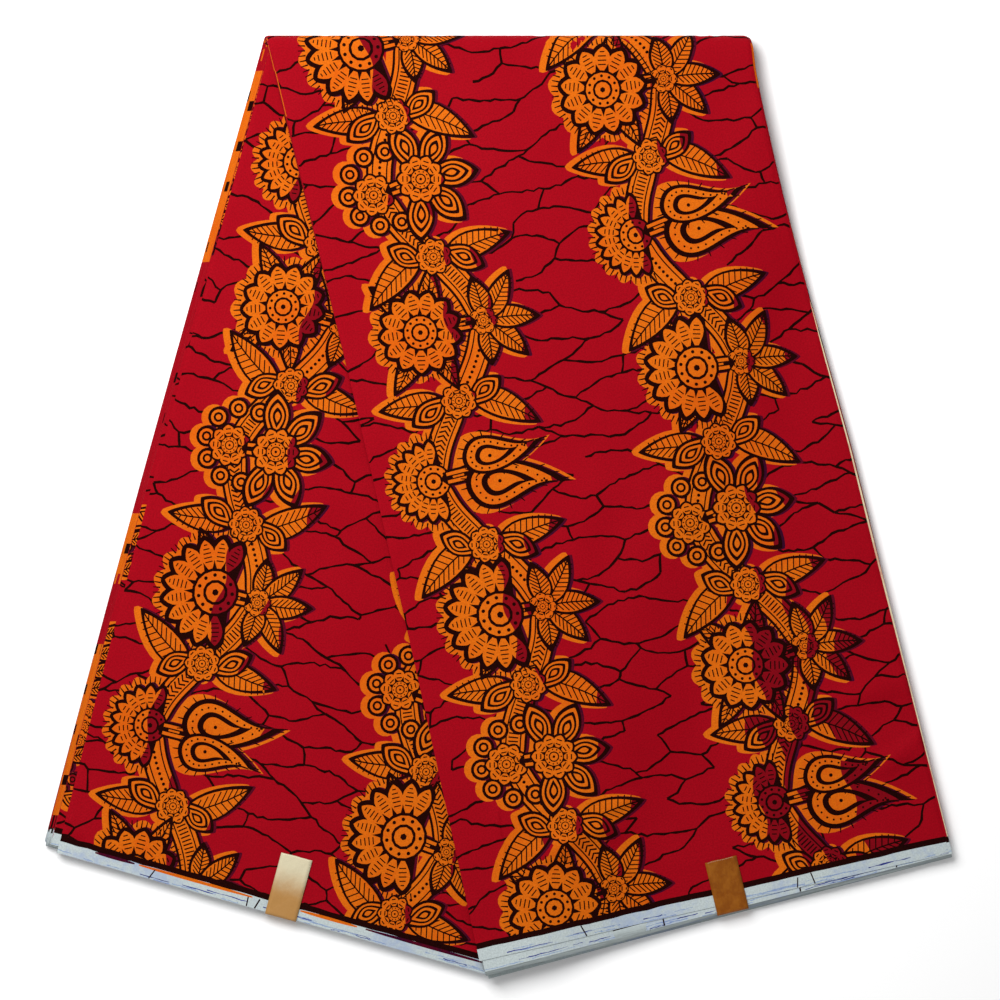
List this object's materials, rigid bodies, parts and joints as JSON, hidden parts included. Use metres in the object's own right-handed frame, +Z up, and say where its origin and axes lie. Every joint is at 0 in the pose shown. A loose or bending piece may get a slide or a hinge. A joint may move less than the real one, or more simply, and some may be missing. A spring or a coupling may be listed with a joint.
{
  "type": "folded length of wax print fabric",
  "caption": "Length of printed cotton cloth pleated into a strip, doubled over at a slant into an inverted V and laid flat, with its selvedges taped at both ends.",
  "frame": {"origin": "middle of the footprint's box, on the underside that rests on the surface", "axes": "+Z up, +Y from the selvedges towards the fold, +X to the right as seen from above with the fold at the top"},
  "size_m": [0.6112, 0.6346, 0.0176],
  "materials": {
    "red_print": "crimson plain-woven cotton with an orange and black print",
    "red_cloth": "crimson plain-woven cotton",
    "selvedge": "undyed cotton selvedge, pale bluish white",
    "paper_tape": "brown packing tape, slightly glossy"
  },
  "bodies": {
    "root": {"outer_layer": "red_print", "front_under_layer": "selvedge", "hidden_layers": "red_cloth", "back_under_layer": "red_print", "inner_layer": "red_print", "front_tape": "paper_tape", "back_tape": "paper_tape"}
  },
  "joints": []
}
